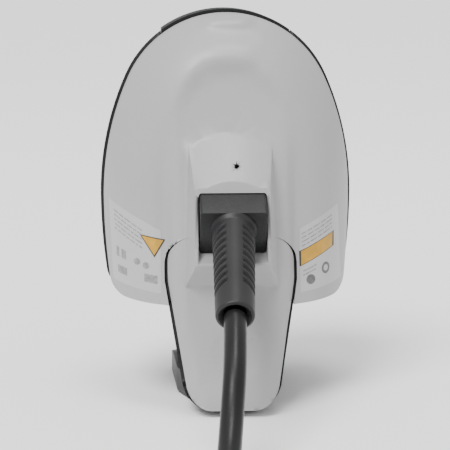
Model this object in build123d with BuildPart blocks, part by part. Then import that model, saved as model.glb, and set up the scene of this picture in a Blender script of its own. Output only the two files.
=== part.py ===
from build123d import *
import os
from math import asin, atan2, cos, degrees, pi, radians, sin, sqrt, tan, tanh

os.makedirs("parts", exist_ok=True)

# An upright barcode scanner: egg-shaped head, handle and foot. Millimetres, +Z up, the scan window
# faces -Y, and the cable leaves the rear, +Y. The origin is on the table under the middle of the case.

# ---- Overall sizes ----
case_height = 131.5
case_half_depth = 37.3
head_half_width = 43.5
head_bottom = 33.0
widest_height = 68.0
corner_radius = 7.0
inner_corner = 1.5
crown_radius = 38.0
skirt_radius = 190.0
shell_front = -12.0
rim_margin = 1.15
shell_wall = 2.2
housing_wall = 2.2

# ---- Rear shell form ----
column_half_width = 21.0
column_top = 116.0
column_spring = 80.0
column_depth_at_head = 29.3
column_lean = 0.231
heel_flare = 3.1
heel_height = 20.0
lobe_height = 88.0
lobe_depth = 16.4
lobe_lower_curve = 0.0028
lobe_upper_curve = 0.0045
edge_height = 5.0
edge_power = 5.0
edge_run_out = 0.08
shoulder_width = 5.0
slit_width = 1.1
slit_top = 58.0
tongue_foot_half_width = 14.0
tongue_bottom = 2.4
tongue_corner = 9.0
tongue_skin = 7.0
outline_margin = 1.1

# ---- Cable boss and plug well, in the rear shell ----
boss_tilt = 8.7
boss_y = 32.8
boss_z = 62.2
boss_half_width = 12.1
boss_lower = 12.4
boss_corner = 10.6
boss_arch = 4.6
boss_depth = 16.0
plug_angle = 31.0
plug_y = 33.7
plug_z = 61.7
plug_width = 21.6
plug_depth = 16.7
plug_length = 13.0
plug_overhang = 1.5
well_gap = 0.35
well_wall = 1.2

# ---- Front housing ----
housing_front = -35.3
window_width = 54.0
window_height = 56.0
window_z = 87.0
glass_thickness = 2.0
bezel_width = 5.0
foot_half_width = 19.0
foot_height = 8.0
toe_height = 6.4
foot_roof = 3.4
neck_front = -9.0
cover_thickness = 1.8
fit_gap = 0.15

# ---- Scan button ----
button_half_width = 22.0
button_thickness = 2.4
button_travel = 0.8
button_rear = -12.5
button_front = -31.0
button_gap = 0.35

# ---- Table contact ----
pad_height = 0.8


# the side arc of the head meets the crown arc without a corner
crown_rise = case_height - widest_height
side_radius = (head_half_width**2 + crown_rise**2 - 2 * crown_rise * crown_radius) / (
    2 * (head_half_width - crown_radius)
)


def column_depth(z):
    """Y of the middle of the column and tongue at height z."""
    y = column_depth_at_head - column_lean * (z - head_bottom)
    flare = heel_flare * max(0.0, 1 - z / heel_height) ** 2
    return y + flare


def lobe_depth_at(z):
    """Y of the dome beside the column at height z, before it falls to the rim."""
    rise = z - lobe_height
    curve = lobe_upper_curve if rise > 0 else lobe_lower_curve
    return lobe_depth + curve * rise * rise


def edge_share(x, z):
    """0 on the axis of the head and 1 on the outline of the shell, levelling off just outside it."""
    across = abs(x) / (head_half_width - rim_margin)
    above = max(0.0, z - widest_height) / (case_height - rim_margin - widest_height)
    share = (across**2.2 + above**2.2) ** (1 / 2.2)
    if share <= 1:
        return share
    return 1 + edge_run_out * tanh((share - 1) / edge_run_out)


def tongue_half_width(z):
    lean = (column_half_width - tongue_foot_half_width) / 43.0
    return min(column_half_width, tongue_foot_half_width + lean * z)


def column_inset(x, z):
    """Distance inside the outline of the column, negative outside it."""
    if z > column_spring:
        across = abs(x) / column_half_width
        above = (z - column_spring) / (column_top - column_spring)
        return column_half_width * (1 - (across**2.5 + above**2.5) ** 0.4)
    side = tongue_half_width(z) - abs(x)
    base = z - tongue_bottom
    if side < tongue_corner and base < tongue_corner:
        return tongue_corner - sqrt((tongue_corner - side) ** 2 + (tongue_corner - base) ** 2)
    return min(side, base)


def rear_depth(x, z):
    """Y of the outside of the rear shell."""
    lobe = lobe_depth_at(z)
    lobe -= (lobe - shell_front - edge_height) * edge_share(x, z) ** edge_power
    inset = max(0.0, min(1.0, column_inset(x, z) / shoulder_width))
    share = 1 - (1 - inset) ** 2.2
    return lobe + (column_depth(z) - lobe) * share


def space_behind(depth_at):
    """Closed solid of everything behind the surface Y = depth_at(x, z)."""
    half = head_half_width + 3.0
    back = 2 * case_half_depth
    across = 31
    rows = 30
    lowest = -3.0
    rise = (case_height + 3.0 - lowest) / (rows - 1)
    with BuildPart() as space:
        for row in range(rows):
            z = lowest + row * rise
            places = [half * (2 * i / (across - 1) - 1) for i in range(across)]
            points = [(x, depth_at(x, z)) for x in places]
            with BuildSketch(Plane.XY.offset(z)):
                with BuildLine():
                    Spline(*points)
                    Polyline(points[-1], (half, back), (-half, back), points[0])
                make_face()
        loft()
    return space.part


def head_outline(inset):
    """Egg outline of the head in the XZ plane, of tangent arcs, this far inside the dark rim."""
    side_centre = head_half_width - side_radius
    crown_centre = case_height - crown_radius
    crown_turn = degrees(atan2(crown_centre - widest_height, -side_centre))
    skirt_turn = degrees(asin((widest_height - head_bottom - 3.0) / skirt_radius))
    skirt_centre = head_half_width - skirt_radius
    with BuildSketch(Plane.XZ, mode=Mode.PRIVATE) as outline:
        with BuildLine():
            CenterArc((0, crown_centre), crown_radius - inset, crown_turn, 90 - crown_turn)
            CenterArc((side_centre, widest_height), side_radius - inset, 0, crown_turn)
            skirt = CenterArc(
                (skirt_centre, widest_height), skirt_radius - inset, -skirt_turn, skirt_turn
            )
            base = ThreePointArc(
                skirt @ 0, (22.0, head_bottom + inset + 0.9), (0, head_bottom + inset)
            )
            Line(base @ 1, (0, case_height - inset))
        make_face()
        corner = outline.vertices().filter_by(lambda v: v.Z < widest_height - 1 and v.X > 10)
        fillet(corner, max(inner_corner, corner_radius - inset))
        mirror(about=Plane.YZ)
    return outline.sketch


def tongue_outline(margin):
    """Outline of the column and tongue in the XZ plane, this much outside the grey tongue."""
    top = column_half_width + margin
    foot = tongue_foot_half_width + margin
    with BuildSketch(Plane.XZ, mode=Mode.PRIVATE) as outline:
        with BuildLine():
            Polyline(
                (-top, slit_top),
                (-top, 43.0),
                (-foot, tongue_bottom - margin),
                (foot, tongue_bottom - margin),
                (top, 43.0),
                (top, slit_top),
                close=True,
            )
        make_face()
        fillet(outline.vertices().group_by(Axis.Z)[0], tongue_corner + margin)
    return outline.sketch


# ---- Rear shell ----
release_radius = 0.8
release_z = 81.4
dish_z = 27.5
dish_sphere = 30.0
dish_drop = 0.55
front_screw_x = 8.0
front_screw_z = 22.0
front_screw_radius = 1.5
post_front = neck_front + housing_wall + 0.6
outer_space = space_behind(rear_depth)

boss_cos = cos(radians(boss_tilt))
boss_sin = sin(radians(boss_tilt))
boss_face = Plane(origin=(0, boss_y, boss_z), x_dir=(-1, 0, 0), z_dir=(0, boss_cos, boss_sin))
plug_cos = cos(radians(plug_angle))
plug_sin = sin(radians(plug_angle))
plug_plane = Plane(origin=(0, plug_y, plug_z), x_dir=(-1, 0, 0), z_dir=(0, plug_cos, -plug_sin))
well_width = plug_width + 2 * well_gap
well_height = plug_depth + 2 * well_gap
well_end = plug_length + well_gap
neck_half_width = column_half_width + outline_margin + fit_gap
part_heights = [0.0, 8.0, 16.0, 24.0, head_bottom + 3.5]
part_line = [(column_depth(z) - tongue_skin, z) for z in part_heights]


def boss_section(plane, lower, corner, lower_half, upper_half):
    """Arch-topped outline of the cable boss."""
    with BuildSketch(plane, mode=Mode.PRIVATE) as section:
        with BuildLine():
            Line((-lower_half, -lower), (lower_half, -lower))
            Line((lower_half, -lower), (upper_half, corner))
            ThreePointArc((upper_half, corner), (0, corner + boss_arch), (-upper_half, corner))
            Line((-upper_half, corner), (-lower_half, -lower))
        make_face()
    return section.sketch


with BuildPart() as boss:
    rear = boss_section(boss_face, boss_lower, boss_corner, boss_half_width, boss_half_width)
    root_plane = boss_face.offset(-boss_depth)
    root_rise = 1.37 * boss_depth
    root_drop = boss_lower + 0.8 * boss_depth
    root = boss_section(root_plane, root_drop, boss_corner + root_rise, 18.2, 14.4)
    loft([rear, root], ruled=True)
    rear_edges = boss.faces().sort_by(Axis.Y)[-1].edges()
    fillet(rear_edges, 0.8)

# steps of the hollow inside the dome: distance behind the parting plane, and distance inside the rim
dome_steps = [(-1.0, 3.35), (3.0, 3.35), (7.0, 4.3), (11.0, 6.0), (17.0, 9.8), (20.0, 14.5)]
hollow_heights = [tongue_bottom + shell_wall + 1.0, 12.0, 20.0, head_bottom, slit_top, 84.0]
hollow_line = [(column_depth(z) - shell_wall - 0.3, z) for z in hollow_heights]

with BuildPart() as dome_hollow:
    for depth, inset in dome_steps:
        with BuildSketch(Plane.XZ.offset(-shell_front - depth)):
            add(head_outline(inset))
    loft(ruled=True)
    with BuildSketch(Plane.XZ.offset(-shell_front)):
        with Locations((0, head_bottom + 17.9)):
            RectangleRounded(54, 29.2, 5)
    extrude(amount=-24)

with BuildPart() as column_hollow:
    with BuildSketch(Plane.XZ.offset(1 - shell_front)):
        add(tongue_outline(-shell_wall - 1.0))
        with Locations((0, slit_top + 10)):
            Rectangle(2 * (column_half_width - shell_wall - 1.5), 36)
    extrude(amount=-70)
    with BuildSketch(Plane.YZ.offset(-head_half_width)):
        with BuildLine():
            Polyline(
                *hollow_line,
                (shell_front - 1, hollow_line[-1][1]),
                (shell_front - 1, hollow_line[0][1]),
                close=True,
            )
        make_face()
    extrude(amount=2 * head_half_width, mode=Mode.INTERSECT)

with BuildPart() as rear_shell:
    with BuildSketch(Plane.XZ.offset(-shell_front)):
        add(head_outline(rim_margin))
        add(tongue_outline(0))
    extrude(amount=-70)
    add(outer_space, mode=Mode.SUBTRACT)
    add(boss.part)
    add(dome_hollow.part, mode=Mode.SUBTRACT)
    add(column_hollow.part, mode=Mode.SUBTRACT)
    # the wall of the plug well, then the well itself and the way through for the modular plug
    with BuildSketch(plug_plane.offset(-well_end - well_wall)):
        RectangleRounded(well_width + 2 * well_wall, well_height + 2 * well_wall, 1.5)
    extrude(amount=well_end + well_wall + 3.0)
    with BuildSketch(boss_face):
        Rectangle(60, 60)
    extrude(amount=30, mode=Mode.SUBTRACT)
    with BuildSketch(plug_plane.offset(-well_end)):
        RectangleRounded(well_width, well_height, 1.0)
    extrude(amount=40, mode=Mode.SUBTRACT)
    with BuildSketch(plug_plane.offset(-well_end - 5)):
        Rectangle(13.0, 11.0)
    extrude(amount=10, mode=Mode.SUBTRACT)
    with BuildSketch(plug_plane.offset(-well_end - well_wall)):
        Rectangle(16.6, 13.6)
    extrude(amount=-40, mode=Mode.SUBTRACT)
    # the handle parts from the front housing along its rear face, and the slits part tongue and wings
    with BuildSketch(Plane.YZ.offset(-neck_half_width)):
        with BuildLine():
            Spline(*part_line)
            Polyline(
                part_line[-1],
                (shell_front - 1, head_bottom + 3.5),
                (shell_front - 1, -2),
                (part_line[0][0], -2),
                part_line[0],
            )
        make_face()
    extrude(amount=2 * neck_half_width, mode=Mode.SUBTRACT)
    with BuildSketch(Plane.XZ.offset(1 - shell_front)):
        add(tongue_outline(slit_width))
        add(tongue_outline(0), mode=Mode.SUBTRACT)
    extrude(amount=-60, mode=Mode.SUBTRACT)
    # the pin hole in the roof of the boss, and the shallow dish in the tongue
    with BuildSketch(Plane.XZ.offset(-50)):
        with Locations((-1.6, release_z)):
            Circle(release_radius)
    extrude(amount=30, mode=Mode.SUBTRACT)
    with Locations((-1.4, column_depth(dish_z) + dish_sphere - dish_drop, dish_z)):
        Sphere(dish_sphere, mode=Mode.SUBTRACT)
    # posts in the handle that the neck screws bite into
    with BuildSketch(Plane.XZ.offset(-post_front)):
        with Locations((-front_screw_x, front_screw_z), (front_screw_x, front_screw_z)):
            Circle(3.0)
    extrude(amount=post_front - column_depth(front_screw_z) + 1.2)
    with BuildSketch(Plane.XZ.offset(-post_front)):
        with Locations((-front_screw_x, front_screw_z), (front_screw_x, front_screw_z)):
            Circle(front_screw_radius)
    extrude(amount=-14, mode=Mode.SUBTRACT)
rear_shell.part.label = "rear_shell"
export_step(rear_shell.part, "parts/rear_shell.step")

# ---- Front housing ----
insert_radius = 3.5
insert_bore = 2.1
insert_length = 5.4
insert_y = -8.0
cover_screw_places = [(-11.0, -16.0), (11.0, -16.0), (0, 11.5)]
cover_screw_radius = 1.3
chassis_screw_places = [(-31.6, 60.0), (31.6, 60.0), (-32.0, 80.0), (32.0, 80.0)]
foot_top = pad_height + foot_height
neck_top = slit_top - 0.3
neck_rear_inside = 11.5
rib_front = 2.0
front_sections = [(-shell_front, 0.0), (-shell_front + 20.0, 1.8), (-housing_front, 4.4)]
neck_heights = [tongue_bottom - outline_margin, 8.0, 16.0, 24.0, head_bottom + 3.3]
neck_line = [(column_depth(z) - tongue_skin - fit_gap, z) for z in neck_heights]
saddle_inset = button_thickness + button_travel + 0.4
saddle_floor = case_height - saddle_inset - 2.2
spring_x = 7.0
stem_drop = 2.4
switch_height = 2.6
well_drop = stem_drop + button_travel + 0.1 + switch_height
spring_radius = 2.2
stem_radius = 1.5
button_y = (button_rear + button_front) / 2


def window_frame(plane, margin, radius):
    """Rounded outline of the window opening, this much larger all round."""
    with BuildSketch(plane, mode=Mode.PRIVATE) as outline:
        with Locations((0, window_z)):
            RectangleRounded(window_width + 2 * margin, window_height + 2 * margin, radius)
    return outline.sketch


def foot_plan(height, inset):
    """Outline of the foot on a level plane."""
    with BuildSketch(Plane.XY.offset(height), mode=Mode.PRIVATE) as outline:
        with BuildLine():
            Polyline(
                (-foot_half_width, -case_half_depth),
                (foot_half_width, -case_half_depth),
                (foot_half_width - 1.5, 2.0),
                (8.5, 29.0),
                (-8.5, 29.0),
                (1.5 - foot_half_width, 2.0),
                close=True,
            )
        make_face()
        fillet(outline.vertices().group_by(Axis.Y)[0], 9)
        fillet(outline.vertices().group_by(Axis.Y)[-1], 6)
        if inset:
            offset(amount=-inset)
    return outline.sketch


with BuildPart() as neck:
    with BuildSketch(Plane.XZ.offset(case_half_depth)):
        add(tongue_outline(outline_margin))
    extrude(amount=-2 * case_half_depth)
    with BuildSketch(Plane.YZ.offset(-head_half_width)):
        with BuildLine():
            Spline(*neck_line)
            Polyline(
                neck_line[-1],
                (neck_rear_inside, neck_line[-1][1]),
                (neck_rear_inside, neck_top),
                (rib_front, neck_top),
                (rib_front, head_bottom + 6),
                (shell_front - 4, head_bottom + 6),
                (shell_front - 4, head_bottom + 1),
            )
            ThreePointArc((shell_front - 4, head_bottom + 1), (neck_front, 21), (-20, foot_top))
            Polyline((-20, foot_top), (-20, neck_line[0][1]), neck_line[0])
        make_face()
    extrude(amount=2 * head_half_width, mode=Mode.INTERSECT)
    # the foot, with its toe sloping down to the front
    add(extrude(foot_plan(pad_height, 0), amount=foot_height, mode=Mode.PRIVATE))
    with BuildSketch(Plane.YZ.offset(-head_half_width)):
        with BuildLine():
            Polyline(
                (-case_half_depth - 1, toe_height),
                (-20, foot_top),
                (-20, foot_top + 2),
                (-case_half_depth - 1, foot_top + 2),
                close=True,
            )
        make_face()
    extrude(amount=2 * head_half_width, mode=Mode.SUBTRACT)

with BuildPart() as neck_hollow:
    with BuildSketch(Plane.XZ.offset(case_half_depth)):
        add(tongue_outline(outline_margin - housing_wall))
        with Locations((0, slit_top)):
            Rectangle(2 * (column_half_width + outline_margin - housing_wall), 10)
    extrude(amount=-2 * case_half_depth)
    with BuildSketch(Plane.YZ.offset(-head_half_width)):
        with BuildLine():
            inner_chin = (shell_front - 4 + housing_wall, head_bottom + 1)
            inner_instep = (-20 + housing_wall, foot_top + 1)
            ThreePointArc(inner_chin, (neck_front + housing_wall, 21), inner_instep)
            Polyline(
                inner_instep,
                (-20 + housing_wall, foot_top),
                (case_half_depth, foot_top),
                (case_half_depth, slit_top + 4),
                (inner_chin[0], slit_top + 4),
                inner_chin,
            )
        make_face()
    extrude(amount=2 * head_half_width, mode=Mode.INTERSECT)

with BuildPart() as slit_fins:
    with BuildSketch(Plane.XZ.offset(-neck_rear_inside + 1.0)):
        add(tongue_outline(slit_width - 0.1))
        add(tongue_outline(0.1), mode=Mode.SUBTRACT)
        with Locations((0, (head_bottom + 3.4 + neck_top) / 2)):
            Rectangle(80, neck_top - head_bottom - 3.4, mode=Mode.INTERSECT)
    extrude(amount=-40)
    add(outer_space.moved(Location((0, -0.8, 0))), mode=Mode.SUBTRACT)

with BuildPart() as front_housing:
    for depth, inset in front_sections:
        with BuildSketch(Plane.XZ.offset(depth)):
            add(head_outline(inset))
    loft(ruled=True)
    with BuildSketch(Plane.XZ.offset(-shell_front)):
        add(head_outline(rim_margin + shell_wall + fit_gap))
    extrude(amount=-2.5)
    with BuildSketch(Plane.XZ.offset(-shell_front - 2.5)):
        add(head_outline(rim_margin + shell_wall + fit_gap + 1.4))
    extrude(amount=-housing_front + shell_front + 2.5 - housing_wall, mode=Mode.SUBTRACT)
    # the saddle that the scan button presses towards
    with BuildSketch(Plane.XZ.offset(-shell_front)):
        add(head_outline(1.5))
        add(head_outline(saddle_inset + 2.2), mode=Mode.SUBTRACT)
        with Locations((0, case_height)):
            Rectangle(2 * button_half_width + 6, 30, mode=Mode.INTERSECT)
    extrude(amount=-housing_front + shell_front - 1.0)
    with BuildSketch(Plane.XZ.offset(-shell_front)):
        add(head_outline(-1.0))
        add(head_outline(saddle_inset), mode=Mode.SUBTRACT)
        with Locations((0, case_height)):
            Rectangle(2 * (button_half_width + button_gap), 46, mode=Mode.INTERSECT)
    extrude(amount=shell_front - button_front + button_gap, mode=Mode.SUBTRACT)
    with BuildSketch(Plane.XY.offset(saddle_floor - well_drop)):
        with Locations((-spring_x, button_y), (spring_x, button_y)):
            Circle(spring_radius + 1.5)
    extrude(amount=well_drop + 0.5)
    with BuildSketch(Plane.XY.offset(saddle_floor)):
        with Locations((-spring_x, button_y), (spring_x, button_y)):
            Circle(spring_radius + 0.3)
    extrude(amount=20, mode=Mode.SUBTRACT)
    with BuildSketch(Plane.XY.offset(saddle_floor - 6)):
        with Locations((0, button_y)):
            Circle(stem_radius + 0.3)
    extrude(amount=20, mode=Mode.SUBTRACT)
    # neck, foot and the ribs that fill the slits
    add(neck.part)
    add(neck_hollow.part, mode=Mode.SUBTRACT)
    add(slit_fins.part)
    foot_hollow = extrude(
        foot_plan(pad_height, housing_wall), amount=foot_height - foot_roof, mode=Mode.PRIVATE
    )
    add(foot_hollow, mode=Mode.SUBTRACT)
    with BuildSketch(Plane.XY.offset(pad_height)):
        with Locations((0, insert_y)):
            Circle(insert_radius)
    extrude(amount=insert_length, mode=Mode.SUBTRACT)
    with BuildSketch(Plane.XY.offset(pad_height)):
        with Locations(*cover_screw_places):
            Circle(cover_screw_radius)
    extrude(amount=7.0, mode=Mode.SUBTRACT)
    # posts for the optics chassis
    with BuildSketch(Plane.XZ.offset(-housing_front - 1)):
        with Locations(*chassis_screw_places):
            Circle(2.4)
    extrude(amount=housing_front + 1 + 4.0)
    with BuildSketch(Plane.XZ.offset(4.0)):
        with Locations(*chassis_screw_places):
            Circle(1.1)
    extrude(amount=10, mode=Mode.SUBTRACT)
    # the window opening, the light pipe slot and the screw holes in the neck
    with BuildSketch(Plane.XZ.offset(-housing_front - 5)):
        add(window_frame(Plane.XZ, 0, 7))
        with Locations((0, window_z + window_height / 2 + bezel_width + 2.4)):
            SlotOverall(14, 2.4)
    extrude(amount=10, mode=Mode.SUBTRACT)
    with BuildSketch(Plane.XZ.offset(case_half_depth)):
        with Locations((-front_screw_x, front_screw_z), (front_screw_x, front_screw_z)):
            Circle(front_screw_radius + 0.2)
    extrude(amount=-case_half_depth - 2, mode=Mode.SUBTRACT)
    with BuildSketch(Plane.XZ.offset(-neck_front - 0.2)):
        with Locations((-front_screw_x, front_screw_z), (front_screw_x, front_screw_z)):
            Circle(2 * front_screw_radius + 0.4)
    extrude(amount=15, mode=Mode.SUBTRACT)
front_housing.part.label = "front_housing"
export_step(front_housing.part, "parts/front_housing.step")


# ---- Window: bezel, gasket and glass ----
with BuildPart() as window_bezel:
    with BuildSketch(Plane.XZ.offset(-housing_front)):
        add(window_frame(Plane.XZ, bezel_width, 12))
    extrude(amount=case_half_depth + housing_front)
    fillet(window_bezel.faces().sort_by(Axis.Y)[0].edges(), 1.0)
    with BuildSketch(Plane.XZ.offset(-housing_front - housing_wall)):
        add(window_frame(Plane.XZ, -fit_gap, 6.85))
    extrude(amount=housing_wall)
    with BuildSketch(Plane.XZ.offset(-housing_front - housing_wall)):
        add(window_frame(Plane.XZ, -2.0, 5))
    extrude(amount=10, mode=Mode.SUBTRACT)
window_bezel.part.label = "window_bezel"
export_step(window_bezel.part, "parts/window_bezel.step")

gasket_thickness = 0.8
gasket_front = -housing_front - housing_wall
with BuildPart() as window_gasket:
    with BuildSketch(Plane.XZ.offset(gasket_front - gasket_thickness)):
        add(window_frame(Plane.XZ, 1.6, 11))
        add(window_frame(Plane.XZ, -2.0, 5), mode=Mode.SUBTRACT)
    extrude(amount=gasket_thickness)
window_gasket.part.label = "window_gasket"
export_step(window_gasket.part, "parts/window_gasket.step")

glass_front = gasket_front - gasket_thickness
with BuildPart() as scan_window:
    with BuildSketch(Plane.XZ.offset(glass_front - glass_thickness)):
        add(window_frame(Plane.XZ, 1.6, 11))
    extrude(amount=glass_thickness)
scan_window.part.label = "scan_window"
export_step(scan_window.part, "parts/scan_window.step")

pipe_z = window_z + window_height / 2 + bezel_width + 2.4
with BuildPart() as light_pipe:
    with BuildSketch(Plane.XZ.offset(-housing_front - housing_wall - 2)):
        with Locations((0, pipe_z)):
            SlotOverall(14 - 2 * fit_gap, 2.4 - 2 * fit_gap)
    extrude(amount=housing_wall + 2.3)
light_pipe.part.label = "light_pipe"
export_step(light_pipe.part, "parts/light_pipe.step")

# ---- Scan button, its springs, switch and board ----
button_under = saddle_floor + 2.0
with BuildPart() as scan_button:
    with BuildSketch(Plane.XZ.offset(-button_rear)):
        add(head_outline(0))
        add(head_outline(button_thickness), mode=Mode.SUBTRACT)
        with Locations((0, case_height)):
            Rectangle(2 * button_half_width, 46, mode=Mode.INTERSECT)
    extrude(amount=button_rear - button_front)
    with BuildSketch(Plane.XY.offset(button_under)):
        with Locations((-spring_x, button_y), (spring_x, button_y)):
            Circle(spring_radius + 0.2)
    extrude(amount=1.4)
    with BuildSketch(Plane.XY.offset(saddle_floor - stem_drop)):
        with Locations((0, button_y)):
            Circle(stem_radius)
    extrude(amount=6.0)
scan_button.part.label = "scan_button"
export_step(scan_button.part, "parts/scan_button.step")

with BuildPart() as button_springs:
    with BuildSketch(Plane.XY.offset(saddle_floor)):
        with Locations((-spring_x, button_y), (spring_x, button_y)):
            Circle(spring_radius)
            Circle(spring_radius - 0.7, mode=Mode.SUBTRACT)
    extrude(amount=button_under - saddle_floor)
button_springs.part.label = "button_springs"
export_step(button_springs.part, "parts/button_springs.step")

switch_top = saddle_floor - stem_drop - button_travel - 0.1
board_thickness = 1.2
with BuildPart() as button_switch:
    with BuildSketch(Plane.XY.offset(switch_top - switch_height)):
        with Locations((0, button_y)):
            RectangleRounded(6, 6, 0.5)
    extrude(amount=switch_height - 0.6)
    with BuildSketch(Plane.XY.offset(switch_top - 0.6)):
        with Locations((0, button_y)):
            Circle(1.7)
    extrude(amount=0.6)
button_switch.part.label = "button_switch"
export_step(button_switch.part, "parts/button_switch.step")

button_board_top = switch_top - switch_height
with BuildPart() as button_board:
    with BuildSketch(Plane.XY.offset(button_board_top - board_thickness)):
        with Locations((0, button_y - 1)):
            RectangleRounded(24, 16, 1)
    extrude(amount=board_thickness)
button_board.part.label = "button_board"
export_step(button_board.part, "parts/button_board.step")

with BuildPart() as status_leds:
    with BuildSketch(Plane.XY.offset(button_board_top)):
        with GridLocations(4.2, 1, 3, 1):
            with Locations((0, button_y - 7.6)):
                Rectangle(2.4, 1.6)
    extrude(amount=0.9)
status_leds.part.label = "status_leds"
export_step(status_leds.part, "parts/status_leds.step")

# ---- Optics: chassis, mirrors, laser and detector ----
chassis_screw_radius = 1.1
board_screw_radius = 1.0
standoff = 2.0
main_board_z = 84.0
board_screw_places = [(x, main_board_z + z) for x in (-22, 22) for z in (-23, 23)]
chassis_y = -4.0
chassis_thickness = 1.6
mirror_ring = 27.0
mirror_angles = [25, 90, 155, 198, 342]
motor_y = -17.5
motor_z = 46.0
motor_screw_radius = 0.9
motor_screw_places = [(x, motor_y + y) for x in (-9.5, 9.5) for y in (-7, 7)]
with BuildPart() as optics_chassis:
    with BuildSketch(Plane.XZ.offset(-chassis_y)):
        add(head_outline(8))
        with Locations((0, 0)):
            Rectangle(90, 2 * motor_z - 4, mode=Mode.SUBTRACT)
        with Locations(*chassis_screw_places):
            Circle(chassis_screw_radius, mode=Mode.SUBTRACT)
    extrude(amount=-chassis_thickness)
    with BuildSketch(Plane.XZ.offset(-chassis_y - chassis_thickness)):
        with Locations(*board_screw_places):
            Circle(2.2)
    extrude(amount=-standoff)
    with BuildSketch(Plane.XZ.offset(-chassis_y)):
        with Locations(*board_screw_places):
            Circle(board_screw_radius)
    extrude(amount=-20, mode=Mode.SUBTRACT)
    with BuildSketch(Plane.XY.offset(motor_z - 1.6)):
        with Locations((0, (chassis_y + motor_y - 11) / 2)):
            Rectangle(28, chassis_y - motor_y + 11)
        with Locations(*motor_screw_places):
            Circle(motor_screw_radius, mode=Mode.SUBTRACT)
    extrude(amount=1.6)
    for turn in mirror_angles:
        x = mirror_ring * cos(radians(turn))
        z = window_z + mirror_ring * sin(radians(turn))
        with BuildSketch(Plane.XZ.offset(-chassis_y)):
            with Locations((x, z)):
                Rectangle(2.4, 2.4, rotation=turn)
        extrude(amount=9.5)
optics_chassis.part.label = "optics_chassis"
export_step(optics_chassis.part, "parts/optics_chassis.step")

with BuildPart() as pattern_mirrors:
    for turn in mirror_angles:
        away = Vector(cos(radians(turn)), 0, sin(radians(turn)))
        across = Vector(-sin(radians(turn)), 0, cos(radians(turn)))
        face_way = (away * -1 + Vector(0, -1, 0)).normalized()
        place = away * (mirror_ring - 1.0) + Vector(0, chassis_y - 12, window_z)
        with BuildSketch(Plane(origin=place, x_dir=across, z_dir=face_way)):
            RectangleRounded(17, 9, 0.8)
        extrude(amount=-1.5)
pattern_mirrors.part.label = "pattern_mirrors"
export_step(pattern_mirrors.part, "parts/pattern_mirrors.step")

with BuildPart() as collecting_mirror:
    with BuildSketch(Plane.XZ.offset(-chassis_y)):
        with Locations((0, window_z)):
            RectangleRounded(34, 28, 5)
    extrude(amount=4.0)
    with Locations((0, chassis_y - 47, window_z)):
        Sphere(45.0, mode=Mode.SUBTRACT)
    with BuildSketch(Plane.XZ.offset(-chassis_y)):
        with Locations((0, window_z)):
            Rectangle(2.4, 2.4)
    extrude(amount=10, mode=Mode.SUBTRACT)
collecting_mirror.part.label = "collecting_mirror"
export_step(collecting_mirror.part, "parts/collecting_mirror.step")

with BuildPart() as motor_bracket:
    with BuildSketch(Plane.XY.offset(motor_z)):
        with Locations((0, motor_y)):
            RectangleRounded(24, 20, 2)
    extrude(amount=1.2)
    with BuildSketch(Plane.XY.offset(motor_z)):
        with Locations((0, motor_y)):
            Circle(2.9)
    extrude(amount=9.0)
    with BuildSketch(Plane.XY.offset(motor_z)):
        with Locations((0, motor_y)):
            Circle(2.0)
    extrude(amount=9.0, mode=Mode.SUBTRACT)
    with BuildSketch(Plane.XY.offset(motor_z)):
        with Locations(*motor_screw_places):
            Circle(motor_screw_radius)
    extrude(amount=1.2, mode=Mode.SUBTRACT)
motor_bracket.part.label = "motor_bracket"
export_step(motor_bracket.part, "parts/motor_bracket.step")

shaft_radius = 1.0
running_gap = 0.03
with BuildPart() as motor_bearings:
    for lower in (motor_z + 0.6, motor_z + 6.0):
        with BuildSketch(Plane.XY.offset(lower)):
            with Locations((0, motor_y)):
                Circle(2.0)
                Circle(shaft_radius + running_gap, mode=Mode.SUBTRACT)
        extrude(amount=3.0)
motor_bearings.part.label = "motor_bearings"
export_step(motor_bearings.part, "parts/motor_bearings.step")

rotor_top = motor_z + 11.5
with BuildPart() as motor_stator:
    with BuildSketch(Plane.XY.offset(motor_z + 2.4)):
        with Locations((0, motor_y)):
            Circle(6.2)
            Circle(2.9, mode=Mode.SUBTRACT)
            with PolarLocations(6.4, 6):
                Rectangle(3.0, 1.0, mode=Mode.SUBTRACT)
    extrude(amount=5.2)
motor_stator.part.label = "motor_stator"
export_step(motor_stator.part, "parts/motor_stator.step")

with BuildPart() as motor_rotor:
    with BuildSketch(Plane.XY.offset(motor_z + 2.6)):
        with Locations((0, motor_y)):
            Circle(8.4)
            Circle(7.0, mode=Mode.SUBTRACT)
    extrude(amount=rotor_top - motor_z - 2.6)
    with BuildSketch(Plane.XY.offset(rotor_top - 1.6)):
        with Locations((0, motor_y)):
            Circle(8.4)
            Circle(shaft_radius, mode=Mode.SUBTRACT)
    extrude(amount=1.6)
motor_rotor.part.label = "motor_rotor"
export_step(motor_rotor.part, "parts/motor_rotor.step")

polygon_radius = 11.0
polygon_height = 8.0
with BuildPart() as polygon_mirror:
    with BuildSketch(Plane.XY.offset(rotor_top)):
        with Locations((0, motor_y)):
            RegularPolygon(polygon_radius, 5)
            Circle(shaft_radius, mode=Mode.SUBTRACT)
    extrude(amount=polygon_height)
polygon_mirror.part.label = "polygon_mirror"
export_step(polygon_mirror.part, "parts/polygon_mirror.step")

with BuildPart() as motor_shaft:
    with BuildSketch(Plane.XY.offset(motor_z + 0.3)):
        with Locations((0, motor_y)):
            Circle(shaft_radius)
    extrude(amount=rotor_top + polygon_height - motor_z + 0.7)
motor_shaft.part.label = "motor_shaft"
export_step(motor_shaft.part, "parts/motor_shaft.step")

laser_x = polygon_radius + 2.5
laser_z = rotor_top + polygon_height / 2
laser_plane = Plane(origin=(laser_x, motor_y, laser_z), x_dir=(0, 1, 0), z_dir=(1, 0, 0))
with BuildPart() as laser_lens:
    with BuildSketch(laser_plane):
        Circle(2.4)
    extrude(amount=1.2)
laser_lens.part.label = "laser_lens"
export_step(laser_lens.part, "parts/laser_lens.step")

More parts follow.
